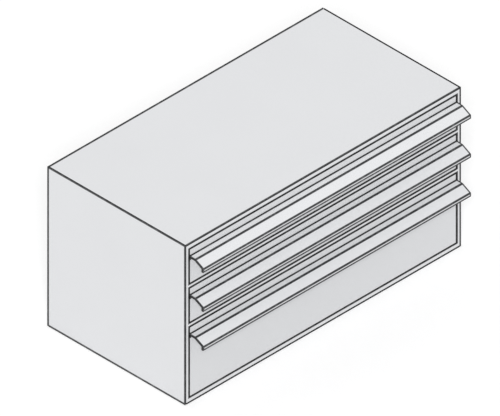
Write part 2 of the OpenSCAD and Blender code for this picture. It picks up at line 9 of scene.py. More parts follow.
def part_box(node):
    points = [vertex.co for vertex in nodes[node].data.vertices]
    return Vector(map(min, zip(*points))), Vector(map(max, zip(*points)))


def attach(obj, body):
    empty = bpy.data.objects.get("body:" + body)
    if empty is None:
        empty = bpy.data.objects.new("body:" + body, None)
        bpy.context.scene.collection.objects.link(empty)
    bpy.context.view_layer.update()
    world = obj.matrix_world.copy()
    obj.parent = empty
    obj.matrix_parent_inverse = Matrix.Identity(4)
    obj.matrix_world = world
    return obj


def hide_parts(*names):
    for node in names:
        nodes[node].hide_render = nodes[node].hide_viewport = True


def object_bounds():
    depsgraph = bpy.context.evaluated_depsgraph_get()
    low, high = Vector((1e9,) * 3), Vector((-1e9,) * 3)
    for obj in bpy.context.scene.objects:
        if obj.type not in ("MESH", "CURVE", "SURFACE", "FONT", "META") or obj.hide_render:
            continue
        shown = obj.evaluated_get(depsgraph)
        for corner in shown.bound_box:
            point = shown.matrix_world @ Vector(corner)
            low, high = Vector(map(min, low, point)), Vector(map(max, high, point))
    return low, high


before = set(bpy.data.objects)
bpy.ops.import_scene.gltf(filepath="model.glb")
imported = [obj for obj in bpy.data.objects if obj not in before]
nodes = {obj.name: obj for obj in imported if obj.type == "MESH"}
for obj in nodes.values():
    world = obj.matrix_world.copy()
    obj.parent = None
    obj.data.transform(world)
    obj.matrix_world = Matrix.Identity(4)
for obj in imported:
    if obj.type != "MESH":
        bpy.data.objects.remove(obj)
cad_low, cad_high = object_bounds()

MM = 0.001
DRAWERS = (1, 2, 3)


# Camera

# The drawing is a true isometric view of the unit from its front left
VIEW_AZIMUTH = math.radians(-45)
VIEW_TILT = math.atan(math.sqrt(0.5))
IMAGE_SIZE = Vector((500, 416))
# Size of one pixel in the plane of the picture
PIXEL = 2.3072 * MM
# Pixel of the front left corner of the case's underside
CORNER_PIXEL = Vector((185.13, 405.43))
CAMERA_DISTANCE = 4.0


def view_back():
    """The direction from the unit towards the camera."""
    return Vector((math.sin(VIEW_AZIMUTH) * math.cos(VIEW_TILT),
                   -math.cos(VIEW_AZIMUTH) * math.cos(VIEW_TILT),
                   math.sin(VIEW_TILT)))


def add_camera():
    """An orthographic camera that puts the case's front left corner on its pixel."""
    back = view_back()
    right = Vector((math.cos(VIEW_AZIMUTH), math.sin(VIEW_AZIMUTH), 0))
    up = back.cross(right)
    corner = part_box("left_side_panel")[0]
    shift = (IMAGE_SIZE / 2 - CORNER_PIXEL) * PIXEL
    data = bpy.data.cameras.new("camera")
    data.type = "ORTHO"
    data.ortho_scale = IMAGE_SIZE.x * PIXEL
    camera = bpy.data.objects.new("camera", data)
    camera.location = corner + right * shift.x - up * shift.y + back * CAMERA_DISTANCE
    camera.rotation_mode = "QUATERNION"
    camera.rotation_quaternion = (-back).to_track_quat("-Z", "Y")
    bpy.context.scene.collection.objects.link(camera)
    bpy.context.scene.camera = camera


# Shader expressions

# The sockets of a Mix node that mixes colours, and those of a Map Range node
MIX_AMOUNT = 0
MIX_LOW = 6
MIX_HIGH = 7
MIX_RESULT = 2
RANGE_VALUE = 0
RANGE_FROM = 1
RANGE_TO = 2


class Value:
    """A socket of a shading's nodes. Operators on it add Math nodes."""

    def __init__(self, shading, socket):
        self.shading = shading
        self.socket = socket

    def math(self, operation, *values):
        return self.shading.node("ShaderNodeMath", {"operation": operation}, dict(enumerate(values)))

    def __add__(self, other):
        return self.math("ADD", self, other)

    def __sub__(self, other):
        return self.math("SUBTRACT", self, other)

    def __rsub__(self, other):
        return self.math("SUBTRACT", other, self)

    def __mul__(self, other):
        return self.math("MULTIPLY", self, other)

    __radd__ = __add__
    __rmul__ = __mul__

    def absolute(self):
        return self.math("ABSOLUTE", self)

    def most(self, *others):
        """The largest of several values."""
        top = self
        for other in others:
            top = self.math("MAXIMUM", top, other)
        return top


class Shading:
    """The nodes of a material or a world."""

    def __init__(self, owner):
        owner.use_nodes = True
        self.tree = owner.node_tree

    def node(self, kind, settings, inputs, output=0):
        """Adds a node: its settings first, then the values or links of its sockets. Gives one output."""
        made = self.tree.nodes.new(kind)
        for name, value in settings.items():
            setattr(made, name, value)
        for name, value in inputs.items():
            if isinstance(value, Value):
                self.tree.links.new(value.socket, made.inputs[name])
            else:
                made.inputs[name].default_value = value
        return Value(self, made.outputs[output]) if made.outputs else None


class Finish(Shading):
    """A material of the unit. Its constants are set on the shader's own sockets."""

    def __init__(self, name, constants):
        self.material = bpy.data.materials.new(name)
        super().__init__(self.material)
        self.shader = next(node for node in self.tree.nodes if node.type == "BSDF_PRINCIPLED")
        for socket, value in constants.items():
            self.shader.inputs[socket].default_value = value
        self.place = self.node("ShaderNodeTexCoord", {}, {}, "Object")

    def axes(self):
        """The x, y and z of the place on the piece."""
        return [self.node("ShaderNodeSeparateXYZ", {}, {"Vector": self.place}, axis) for axis in "XYZ"]

    def stretched(self, scale):
        """The place on the piece, stretched along its axes."""
        return self.node("ShaderNodeMapping", {"vector_type": "POINT"},
                         {"Vector": self.place, "Scale": scale})

    def noise(self, scale, detail=2.0, place=None):
        """Noise with this many spots to the metre, or to the unit of a stretched place."""
        return self.node("ShaderNodeTexNoise", {},
                         {"Vector": place or self.place, "Scale": scale, "Detail": detail})

    def mixed(self, amount, low, high):
        """A colour between low and high."""
        return self.node("ShaderNodeMix", {"data_type": "RGBA"},
                         {MIX_AMOUNT: amount, MIX_LOW: low, MIX_HIGH: high}, MIX_RESULT)

    def shades(self, amount, colour, low, high):
        """A colour between two shades of one, each given as a factor."""
        return self.mixed(amount, shade(colour, low), shade(colour, high))

    def set(self, socket, value):
        self.tree.links.new(value.socket, self.shader.inputs[socket])

    def relief(self, height, depth, strength=1.0):
        """Bumps of the given depth over the surface."""
        self.set("Normal", self.node(
            "ShaderNodeBump", {}, {"Height": height, "Distance": depth, "Strength": strength}))


def ramp(value, low, high):
    """0 where a value is at low, 1 where it is at high, and between them in between."""
    return value.shading.node("ShaderNodeMapRange", {"clamp": True},
                              {RANGE_VALUE: value, RANGE_FROM: low, RANGE_TO: high})


def band(value, base, low, high, fade_low, fade_high):
    """1 where a value lies between low and high, counted from a base, fading out below and above."""
    return ramp(value, base + low - fade_low, base + low) * ramp(value, base + high + fade_high, base + high)


def near(value, edge, width):
    """1 within a width of an edge that a value rises to, fading out over the last part of it."""
    return ramp(value, edge - width, edge - FULL_SHARE * width)


def tone(red, green, blue):
    """A colour, as its 0 to 255 values in a picture, in linear light."""
    def linear(value):
        share = value / 255
        return share / 12.92 if share <= 0.04045 else ((share + 0.055) / 1.055) ** 2.4
    return (linear(red), linear(green), linear(blue), 1.0)


def shade(colour, factor):
    return (colour[0] * factor, colour[1] * factor, colour[2] * factor, 1.0)


# Tones

# The case and the handles, and the drawer fronts
CASE_TONE = tone(226, 227, 229)
FRONT_TONE = tone(218, 219, 221)
# Rubbed paint, the sheets' sealed cut edges and painted shade in the handles' joint with the face; the
# handles' cut ends; and painted shade, with grime, in the gaps and seams
EDGE_TONE = tone(44, 45, 47)
CUT_TONE = tone(22, 22, 23)
GRIME_AND_SHADE_TONE = tone(46, 46, 46)
STAINLESS_TONE = tone(205, 207, 209)
ZINC_TONE = tone(190, 196, 203)
CAGE_TONE = tone(178, 180, 182)
GALVANISED_TONE = tone(186, 191, 196)
RUBBER_TONE = tone(34, 34, 36)


# Wear, and painted shade with grime

# Wear, and the painted shade in the seams, are full over this share of their width, and fade out over the
# rest
FULL_SHARE = 0.7
# Thickness of the skin of paint, behind which a sheet's cut edge shows
SKIN = 0.06 * MM
# Thickness of the case's sheet, and width of its open seams
CASE_SHEET = 1.5 * MM
CASE_SEAM = 2 * MM
# How far the paint is rubbed thin from the edges of a sheet, from those at the rear and the foot of the
# sides, and from the lids' side and rear bends
RUB_WIDTH = 4.2 * MM
OUTER_RUB_WIDTH = 6.6 * MM
BEND_RUB_WIDTH = 1.1 * MM
REAR_BEND_RUB_WIDTH = 5 * MM
# How far it is rubbed thin above and beside the openings of the front frame, how far below them, and the gap
# round the drawer fronts in them
RIM_WIDTH = 3.6 * MM
SILL_WIDTH = 2.6 * MM
FRONT_GAP = 3 * MM
# The rims' wear is full down to this depth behind the face, and gone at twice it
RIM_DEPTH = 0.5 * MM
# Where the corners of the handle profile lie, in front of the face and below the handle's top, and how far
# from each
# the paint is darkened: the first, where the handle's top meets the face, is painted shade in that joint,
# and at the others the paint is rubbed thin
HANDLE_BENDS = [(0.1 * MM, 0, 3.8 * MM), (19 * MM, 0.7 * MM, 3.6 * MM), (46 * MM, 14.7 * MM, 3.5 * MM),
                (46 * MM, 24.6 * MM, 5 * MM)]
# How far it is rubbed thin from the handles' ends
END_WIDTH = 4.6 * MM
# How far painted shade, with grime, reaches into an open seam
SEAM_SHADE_REACH = 12 * MM
# Bands: the low and the high side, and the fades below and above them. They are counted outwards, a sheet's
# cut edge from its outer face and the painted shade on the flanges from the case's top and underside, but
# the painted shade in the gaps backwards from the face, and that in the handles' joint upwards from their
# top
SHEET_CUT = (SKIN - CASE_SHEET, -SKIN, SKIN, SKIN)
FLANGE_SHADE = (-6.3 * MM, -0.9 * MM, 4 * MM, 0.5 * MM)
GAP_SHADE = (0.7 * MM, 5 * MM, 0.5 * MM, 7 * MM)
HANDLE_JOINT_SHADE = (-1 * MM, 1.7 * MM, 1 * MM, 0.6 * MM)

# Planes of the case: its face, the middle of its height, and the lids' side and rear flanges
face_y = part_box("front_frame")[0].y
middle_z = cad_high.z / 2
lid_side = cad_high.x - CASE_SHEET - CASE_SEAM
lid_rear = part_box("top_panel")[1].y


def off_middle(z):
    """Distance from half the height of the case."""
    return (z - middle_z).absolute()


def sides_wear(x, y, z):
    cut = band(x.absolute(), cad_high.x, *SHEET_CUT)
    return cut.most(near(-1 * y, -face_y, RUB_WIDTH), near(y, cad_high.y, OUTER_RUB_WIDTH),
                    near(z, cad_high.z, RUB_WIDTH), near(-1 * z, 0, OUTER_RUB_WIDTH))


# Painted shade, with grime, on the inner face of the sides near the seams, where it shows through them
def sides_seam_shade(x, y, z):
    inner_x = cad_high.x - CASE_SHEET
    inside = ramp(x.absolute(), inner_x + 0.5 * SKIN, inner_x)
    return inside * near(off_middle(z), middle_z, SEAM_SHADE_REACH).most(near(-1 * y, -face_y, SEAM_SHADE_REACH))


def back_wear(x, y, z):
    cut = band(y, cad_high.y, *SHEET_CUT)
    return cut.most(near(x.absolute(), cad_high.x, RUB_WIDTH), near(off_middle(z), middle_z, RUB_WIDTH))


def lids_wear(x, y, z):
    bends = near(x.absolute(), lid_side, BEND_RUB_WIDTH).most(near(y, lid_rear, REAR_BEND_RUB_WIDTH))
    outside = near(off_middle(z), middle_z, RUB_WIDTH)
    return near(-1 * y, -face_y, RUB_WIDTH).most(outside * bends)


# Painted shade, with grime, on the lids' flanges, which show in the open seams
def lids_flange_shade(x, y, z):
    return band(off_middle(z), middle_z, *FLANGE_SHADE)


def frame_wear(x, y, z):
    rims = []
    for n in DRAWERS:
        low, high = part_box(f"drawer_{n}_front")
        beside = x.absolute() - (high.x + FRONT_GAP)
        above = z - (high.z + FRONT_GAP)
        below = (low.z - FRONT_GAP + RIM_WIDTH - SILL_WIDTH) - z
        rims.append(ramp(beside.most(above, below), RIM_WIDTH, FULL_SHARE * RIM_WIDTH))
    return ramp(y, face_y + 2 * RIM_DEPTH, face_y + RIM_DEPTH) * rims[0].most(*rims[1:])


# Painted shade, with grime, on the walls of the gaps just behind the face
def gap_shade(x, y, z):
    return band(y, face_y, *GAP_SHADE)


# Finishes

def powder_coat(name, colour, wear_and_shade=None, grime_and_shade=None, cut=None):
    """Fine-texture powder coat: an even tone that clouds a little, over a fine orange peel.

    The three masks take the place's x, y and z. They give where paint is rubbed thin, a sheet's sealed cut
    edge shows or painted shade lies in the handle's joint with the face; where grime and painted shade
    darken a gap; and where a profile is sawn off.
    """
    coat = Finish(name, {"Metallic": 0.0, "IOR": 1.45})
    cloud = coat.noise(5.0)
    peel = coat.noise(700.0, detail=1.0)
    grain = coat.noise(2600.0, detail=1.0)
    skin = coat.shades(cloud, colour, low=0.975, high=1.015)
    rough = 0.46 + 0.16 * grain
    # Grime and painted shade: darker and rougher where the mask gives it
    if grime_and_shade:
        shaded_grime = grime_and_shade(*coat.axes()) * (0.75 + 0.5 * coat.noise(45.0, detail=4.0))
        skin = coat.mixed(shaded_grime, skin, GRIME_AND_SHADE_TONE)
        rough = rough + 0.25 * shaded_grime
    # Rubbed paint and sealed cut edges, and on the handles painted shade in their joint with the face
    if wear_and_shade:
        worn_and_shaded = wear_and_shade(*coat.axes()) * (0.8 + 0.4 * coat.noise(90.0, detail=3.0))
        skin = coat.mixed(worn_and_shaded, skin, EDGE_TONE)
    if cut:
        skin = coat.mixed(cut(*coat.axes()), skin, CUT_TONE)
    coat.set("Base Color", skin)
    coat.set("Roughness", rough)
    coat.relief(0.7 * peel + 0.3 * grain, depth=0.05 * MM)
    return coat.material


# Scratches to the metre across and along the brushing, and the bands that they gather in, as a share of them
BRUSH_ACROSS = 900.0
BRUSH_ALONG = 9.0
BRUSH_BANDS = 0.13
# Lines to the metre along each axis of the rolled rails, on which they run along Y
ROLLED_LINES = (2600.0, 14.0, 2600.0)


def brushed_steel(name, scratches):
    """Brushed stainless sheet. Scratches gives how many there are to the metre along each axis."""
    sheet = Finish(name, {"Metallic": 1.0})
    banded = tuple(BRUSH_BANDS * value for value in scratches)
    streaks = sheet.noise(1.0, detail=3.0, place=sheet.stretched(scratches))
    bands = sheet.noise(1.0, place=sheet.stretched(banded))
    smudge = sheet.noise(9.0)
    sheet.set("Base Color", sheet.shades(0.6 * streaks + 0.4 * bands, STAINLESS_TONE, low=0.86, high=1.08))
    sheet.set("Roughness", 0.42 + 0.16 * streaks + 0.08 * smudge)
    sheet.relief(streaks, depth=0.02 * MM, strength=0.6)
    return sheet.material


def zinc_plate(name):
    """Bright zinc plating on rolled steel: faint rolling lines along the rails and a soft bloom."""
    plate = Finish(name, {"Metallic": 1.0})
    lines = plate.noise(1.0, place=plate.stretched(ROLLED_LINES))
    bloom = plate.noise(38.0, detail=3.0)
    plate.set("Base Color", plate.shades(bloom, ZINC_TONE, low=0.86, high=1.1))
    plate.set("Roughness", 0.26 + 0.12 * lines + 0.14 * bloom)
    plate.relief(lines, depth=0.01 * MM, strength=0.5)
    return plate.material


def galvanised(name):
    """Hot-dip galvanised sheet: a spangle of crystals, each with its own tone and gloss."""
    sheet = Finish(name, {"Metallic": 1.0})
    spangle = sheet.node("ShaderNodeTexVoronoi", {"feature": "F1"},
                         {"Vector": sheet.place, "Scale": 95.0}, "Color")
    crystal = sheet.node("ShaderNodeSeparateColor", {}, {"Color": spangle}, "Red")
    frost = sheet.noise(420.0, detail=3.0)
    sheen = 0.75 * crystal + 0.25 * frost
    sheet.set("Base Color", sheet.shades(sheen, GALVANISED_TONE, low=0.78, high=1.08))
    sheet.set("Roughness", 0.32 + 0.2 * crystal + 0.06 * frost)
    sheet.relief(frost, depth=0.02 * MM, strength=0.4)
    return sheet.material


def spring_steel(name):
    """Thin bright spring steel of the cages and their polished balls."""
    steel = Finish(name, {"Metallic": 1.0})
    haze = steel.noise(260.0, detail=3.0)
    steel.set("Base Color", steel.shades(haze, CAGE_TONE, low=0.82, high=1.15))
    steel.set("Roughness", 0.1 + 0.16 * haze)
    return steel.material


def turned_steel(name):
    """Stainless fasteners, cold-headed and rolled, with a satin skin."""
    steel = Finish(name, {"Metallic": 1.0})
    skin = steel.noise(900.0, detail=3.0)
    steel.set("Base Color", steel.shades(skin, STAINLESS_TONE, low=0.8, high=1.0))
    steel.set("Roughness", 0.22 + 0.2 * skin)
    steel.relief(skin, depth=0.01 * MM, strength=0.5)
    return steel.material


def soft_rubber(name):
    """Matt black moulded rubber."""
    rubber = Finish(name, {"Metallic": 0.0, "IOR": 1.5})
    grain = rubber.noise(1500.0, detail=3.0)
    dust = rubber.noise(60.0)
    rubber.set("Base Color", rubber.shades(dust, RUBBER_TONE, low=0.8, high=1.7))
    rubber.set("Roughness", 0.62 + 0.2 * grain)
    rubber.relief(grain, depth=0.05 * MM)
    return rubber.material


def put(material, *names):
    """Gives the named nodes this material."""
    for name in names:
        slots = nodes[name].material_slots
        if not slots:
            nodes[name].data.materials.append(material)
        for slot in slots:
            slot.material = material


def of_drawers(*parts):
    """The nodes of all three drawers that have these part names."""
    return [f"drawer_{n}_{part}" for n in DRAWERS for part in parts]


def paint_case():
    """Paints the panels of the case and its front frame."""
    put(powder_coat("case_paint_sides", CASE_TONE, sides_wear, sides_seam_shade),
        "left_side_panel", "right_side_panel")
    put(powder_coat("case_paint_lids", CASE_TONE, lids_wear, lids_flange_shade), "top_panel", "bottom_panel")
    put(powder_coat("case_paint_back", CASE_TONE, back_wear), "back_panel")
    put(powder_coat("case_paint_frame", CASE_TONE, frame_wear, gap_shade), "front_frame")


def paint_drawer(n):
    """Paints the handle and the front of a drawer."""
    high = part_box(f"drawer_{n}_handle")[1]
    bends = [(face_y - reach, high.z - fall, width) for reach, fall, width in HANDLE_BENDS]

    # Rubbed paint at the corners of the handle, and painted shade at the first, where its top meets the face
    def handle_wear_and_joint_shade(x, y, z):
        worn_and_shaded = []
        for bend_y, bend_z, width in bends:
            squared = (y - bend_y) * (y - bend_y) + (z - bend_z) * (z - bend_z)
            worn_and_shaded.append(ramp(squared, width ** 2, (FULL_SHARE * width) ** 2))
        return near(x.absolute(), high.x, END_WIDTH).most(*worn_and_shaded)

    def handle_cut(x, y, z):
        return ramp(x.absolute(), high.x - 2 * SKIN, high.x - SKIN)

    # Painted shade, with grime, in the gaps round the front and in its joint just above the handle
    def front_gap_and_joint_shade(x, y, z):
        return gap_shade(x, y, z).most(band(z, high.z, *HANDLE_JOINT_SHADE))

    put(powder_coat(f"handle_paint_{n}", CASE_TONE, handle_wear_and_joint_shade, cut=handle_cut), f"drawer_{n}_handle")
    put(powder_coat(f"front_paint_{n}", FRONT_TONE, grime_and_shade=front_gap_and_joint_shade), f"drawer_{n}_front")


def finish_metal_and_rubber():
    """Finishes what isn't painted, but for the fasteners."""
    put(brushed_steel("box_steel_lengthways", (BRUSH_ACROSS, BRUSH_ALONG, BRUSH_ACROSS)),
        *of_drawers("tray"))
    put(brushed_steel("box_steel_crossways", (BRUSH_ALONG, BRUSH_ACROSS, BRUSH_ACROSS)),
        *of_drawers("box_front", "box_back"))
    put(galvanised("upright_zinc"), "front_left_upright", "front_right_upright",
        "rear_left_upright", "rear_right_upright")
    put(zinc_plate("slide_zinc"), *of_drawers("left_outer_rail", "right_outer_rail", "left_mid_rail",
                                              "right_mid_rail", "left_inner_rail", "right_inner_rail"))
    put(spring_steel("cage_steel"), *of_drawers("outer_cages", "inner_cages"))
    put(soft_rubber("buffer_rubber"), "slide_buffers")


# Modelling

# Points nearer than this are one
MERGE = 0.0001 * MM
TURNED_SIDES = 48
THREAD_STEPS = 24
# Widths of a thread's ridge at its foot and its crest, in pitches
THREAD_ROOT_W = 0.86
THREAD_CREST_W = 0.14
# Edges that turn by less than this are shaded smooth
SOFT_ANGLE = math.radians(32)


def deselect():
    bpy.ops.object.select_all(action="DESELECT")


def make_active(piece):
    deselect()
    piece.select_set(True)
    bpy.context.view_layer.objects.active = piece


def add_modifier(piece, kind, settings):
    """Adds a modifier, sets it and applies it."""
    make_active(piece)
    modifier = piece.modifiers.new(kind.lower(), kind)
    for name, value in settings.items():
        setattr(modifier, name, value)
    bpy.ops.object.modifier_apply(modifier=modifier.name)


def combine(piece, tool, operation):
    """Boolean of a piece and a tool, which is used up."""
    add_modifier(piece, "BOOLEAN", {"object": tool, "operation": operation, "solver": "EXACT"})
    bpy.data.objects.remove(tool)


def pick(piece, kind, wanted):
    """Enters edit mode with only the faces, or else the points, selected that pass the test."""
    make_active(piece)
    bpy.ops.object.mode_set(mode="EDIT")
    bpy.ops.mesh.select_mode(type=kind)
    bpy.ops.mesh.select_all(action="DESELECT")
    bpy.ops.object.mode_set(mode="OBJECT")
    parts = piece.data.polygons if kind == "FACE" else piece.data.vertices
    for part in parts:
        part.select = wanted(part)
    bpy.ops.object.mode_set(mode="EDIT")


def close_up():
    """Merges the doubles of the mesh in edit mode and turns its faces outwards."""
    bpy.ops.mesh.select_all(action="SELECT")
    bpy.ops.mesh.remove_doubles(threshold=MERGE)
    bpy.ops.mesh.normals_make_consistent(inside=False)
    bpy.ops.object.mode_set(mode="OBJECT")


def turn(profile):
    """Turns a profile of (radius, height) points round the Z axis, as on a lathe."""
    deselect()
    bpy.ops.mesh.primitive_plane_add(size=1)
    piece = bpy.context.object
    bpy.ops.object.mode_set(mode="EDIT")
    bpy.ops.mesh.select_mode(type="VERT")
    bpy.ops.mesh.select_all(action="SELECT")
    bpy.ops.mesh.merge(type="CENTER")
    bpy.ops.transform.translate(value=(profile[0][0], 0, profile[0][1]))
    for here, there in zip(profile, profile[1:]):
        step = (there[0] - here[0], 0, there[1] - here[1])
        bpy.ops.mesh.extrude_region_move(TRANSFORM_OT_translate={"value": step})
    bpy.ops.mesh.select_all(action="SELECT")
    bpy.ops.mesh.spin(steps=TURNED_SIDES, angle=math.tau, center=(0, 0, 0), axis=(0, 0, 1))
    close_up()
    return piece


def add_ridge(root, crest, pitch, top, bottom):
    """The ridge of a screw thread round the Z axis, from the radius of its root to that of its crest."""
    start_z = top - pitch / 2
    deselect()
    bpy.ops.mesh.primitive_plane_add(size=1, location=((root + crest) / 2, 0, start_z),
                                     rotation=(math.pi / 2, 0, 0))
    ridge = bpy.context.object
    ridge.scale = (abs(crest - root), THREAD_ROOT_W * pitch, 1)
    bpy.ops.object.transform_apply(location=True, rotation=True, scale=True)
    pick(ridge, "VERT", lambda point: abs(point.co.x - crest) < MERGE)
    bpy.ops.transform.resize(value=(1, 1, THREAD_CREST_W / THREAD_ROOT_W),
                             center_override=(crest, 0, start_z))
    bpy.ops.mesh.select_all(action="SELECT")
    bpy.ops.mesh.delete(type="ONLY_FACE")
    bpy.ops.object.mode_set(mode="OBJECT")
    add_modifier(ridge, "SCREW", {"axis": "Z", "angle": math.tau, "screw_offset": -pitch,
                                  "iterations": round((top - bottom) / pitch) - 1,
                                  "steps": THREAD_STEPS, "render_steps": THREAD_STEPS})
    bpy.ops.object.mode_set(mode="EDIT")
    bpy.ops.mesh.select_all(action="SELECT")
    bpy.ops.mesh.remove_doubles(threshold=MERGE)
    bpy.ops.mesh.fill_holes(sides=4)
    close_up()
    return ridge


def smooth(piece):
    """Shades all but the sharp edges smooth."""
    make_active(piece)
    bpy.ops.object.shade_smooth_by_angle(angle=SOFT_ANGLE)


def join_copies(name, copies):
    """One piece of copies of other pieces, each given as (piece, place, where its Z axis points)."""
    placed = []
    for piece, place, axis in copies:
        copy = bpy.data.objects.new(name, piece.data.copy())
        copy.matrix_world = Matrix.Translation(place) @ axis.to_track_quat("Z", "Y").to_matrix().to_4x4()
        bpy.context.scene.collection.objects.link(copy)
        placed.append(copy)
    make_active(placed[0])
    for copy in placed:
        copy.select_set(True)
    bpy.ops.object.join()
    bpy.ops.object.transform_apply(location=True, rotation=True, scale=True)
    return bpy.context.object


def solids(name):
    """The lowest and highest corners of each solid of a node."""
    deselect()
    copy = bpy.data.objects.new("solids", nodes[name].data.copy())
    bpy.context.scene.collection.objects.link(copy)
    make_active(copy)
    bpy.ops.object.mode_set(mode="EDIT")
    bpy.ops.mesh.select_all(action="SELECT")
    bpy.ops.mesh.remove_doubles(threshold=MERGE)
    bpy.ops.mesh.separate(type="LOOSE")
    bpy.ops.object.mode_set(mode="OBJECT")
    corners = []
    for part in list(bpy.context.selected_objects):
        spots = [vertex.co for vertex in part.data.vertices]
        corners.append((Vector(min(spot[i] for spot in spots) for i in range(3)),
                        Vector(max(spot[i] for spot in spots) for i in range(3))))
        bpy.data.objects.remove(part)
    return corners


# Fasteners

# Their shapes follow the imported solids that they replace

# Radii of the metric threads, and the pitches that go with them
M4_R = 2.0 * MM
M5_R = 2.5 * MM
M8_R = 4.0 * MM
PITCHES = {M4_R: 0.7 * MM, M5_R: 0.8 * MM, M8_R: 1.25 * MM}
# Of a screw, in pitches: what the thread takes off the radius, how far its ridge sinks into the core and
# stays off the head and the tip, and the tip's chamfer
THREAD_DEPTH = 0.48
THREAD_SINK = 0.08
THREAD_OFF_HEAD = 0.4
THREAD_OFF_TIP = 0.3
TIP_CHAMFER = 0.5
# Countersunk screws: lengths, the cone's height and how far it spreads, and the edge of the head
BACK_SCREW_LENGTH = 8.0 * MM
SLIDE_SCREW_LENGTH = 7.0 * MM
CONE_H = 2.0 * MM
CONE_SPREAD = 1.7 * MM
HEAD_EDGE = 0.1 * MM
# Pan heads: height, radius in radii of the screw, and the dome in shares of the head's radius and height
PAN_H = 2.0 * MM
PAN_RATIO = 1.9
PAN_DOME = [(0, 0), (0.45, -0.03), (0.7, -0.12), (0.88, -0.28), (0.97, -0.5), (1, -0.75), (1, -0.95),
            (0.97, -1)]
# Cross recess: width of its wings, depth and span in radii of the head, and how much of them its floor keeps
RECESS_WING = 0.2
RECESS_DEPTH = 0.55
RECESS_SPAN = 1.2
RECESS_FLOOR = 0.4
# A face looks down where its normal's z is below this
LOOKS_DOWN = -0.9
# Blind rivets: the head with its mandrel's socket and the set tail, in shares of their radius and height
RIVET_R = 1.6 * MM
RIVET_GRIP = 2.5 * MM
RIVET_HEAD_R = 3.2 * MM
RIVET_HEAD_H = 1.2 * MM
RIVET_DOME = [(0, -0.82), (0.1, -0.82), (0.22, -0.7), (0.26, -0.7), (0.33, -0.98), (0.4, -1), (0.62, -0.92),
              (0.82, -0.66), (0.95, -0.32), (1, -0.08), (0.97, 0)]
RIVET_TAIL_R = 2.72 * MM
RIVET_TAIL_H = 1.2 * MM
RIVET_TAIL = [(0.94, 0.02), (1, 0.1), (0.93, 0.4), (0.78, 0.75), (0.64, 0.95), (0.45, 1), (0.32, 0.9),
              (0, 0.86)]
# Press-in nuts: the bore between the crests of the thread, the shank in the sheet, and the body above it
NUT_BORE_R = 3.4 * MM
NUT_SHANK_R = 5.2 * MM
NUT_BODY_R = 7.5 * MM
NUT_BODY_LOW = 1.6 * MM
NUT_TOP = 7.6 * MM
NUT_CHAMFER = 0.4 * MM
NUT_LOW_CHAMFER = 0.2 * MM
NUT_GROOVE_DEPTH = 0.25 * MM
NUT_GROOVE_LOW = 0.6 * MM
# How far the ridge of the nut's thread sinks into its wall
NUT_THREAD_SINK = 0.1 * MM


def core_radius(radius):
    return radius - THREAD_DEPTH * PITCHES[radius]


def shank_profile(radius, top, bottom):
    """Profile of a screw's core, from under its head to its tip."""
    core = core_radius(radius)
    chamfer = TIP_CHAMFER * PITCHES[radius]
    return [(core, top), (core, bottom + chamfer), (core - chamfer, bottom), (0, bottom)]


def finish_screw(screw, radius, top, bottom, head):
    """Puts the thread on a screw's core and a cross recess in its head."""
    pitch = PITCHES[radius]
    ridge = add_ridge(core_radius(radius) - THREAD_SINK * pitch, radius, pitch,
                      top - THREAD_OFF_HEAD * pitch, bottom + THREAD_OFF_TIP * pitch)
    combine(screw, ridge, "UNION")
    wing = RECESS_WING * head
    depth = RECESS_DEPTH * head
    for angle in (0, math.pi / 2):
        deselect()
        bpy.ops.mesh.primitive_cube_add(size=1, location=(0, 0, (wing - depth) / 2), rotation=(0, 0, angle))
        cutter = bpy.context.object
        cutter.scale = (RECESS_SPAN * head, wing, depth + wing)
        bpy.ops.object.transform_apply(location=True, rotation=True, scale=True)
        pick(cutter, "FACE", lambda face: face.normal.z < LOOKS_DOWN)
        bpy.ops.transform.resize(value=(RECESS_FLOOR, RECESS_FLOOR, 1), center_override=(0, 0, -depth))
        bpy.ops.object.mode_set(mode="OBJECT")
        combine(screw, cutter, "DIFFERENCE")
    smooth(screw)
    return screw


def make_flat_screw(radius, length):
    """Countersunk screw, the top of its head on the origin and its tip along -Z."""
    head = radius + CONE_SPREAD
    top = [(0, 0), (head - HEAD_EDGE, 0), (head, -HEAD_EDGE)]
    screw = turn(top + shank_profile(radius, -CONE_H, -length))
    return finish_screw(screw, radius, -CONE_H, -length, head)


def make_pan_screw(radius, length):
    """Pan-head screw, the top of its head on the origin and its tip along -Z."""
    head = PAN_RATIO * radius
    dome = [(r * head, z * PAN_H) for r, z in PAN_DOME]
    screw = turn(dome + shank_profile(radius, -PAN_H, -PAN_H - length))
    return finish_screw(screw, radius, -PAN_H, -PAN_H - length, head)


def make_rivet():
    """Blind rivet that passes the origin: its domed head along -Z, its set tail along Z."""
    profile = [(r * RIVET_HEAD_R, z * RIVET_HEAD_H) for r, z in RIVET_DOME]
    profile += [(RIVET_R, 0), (RIVET_R, RIVET_GRIP)]
    profile += [(r * RIVET_TAIL_R, RIVET_GRIP + z * RIVET_TAIL_H) for r, z in RIVET_TAIL]
    rivet = turn(profile)
    smooth(rivet)
    return rivet


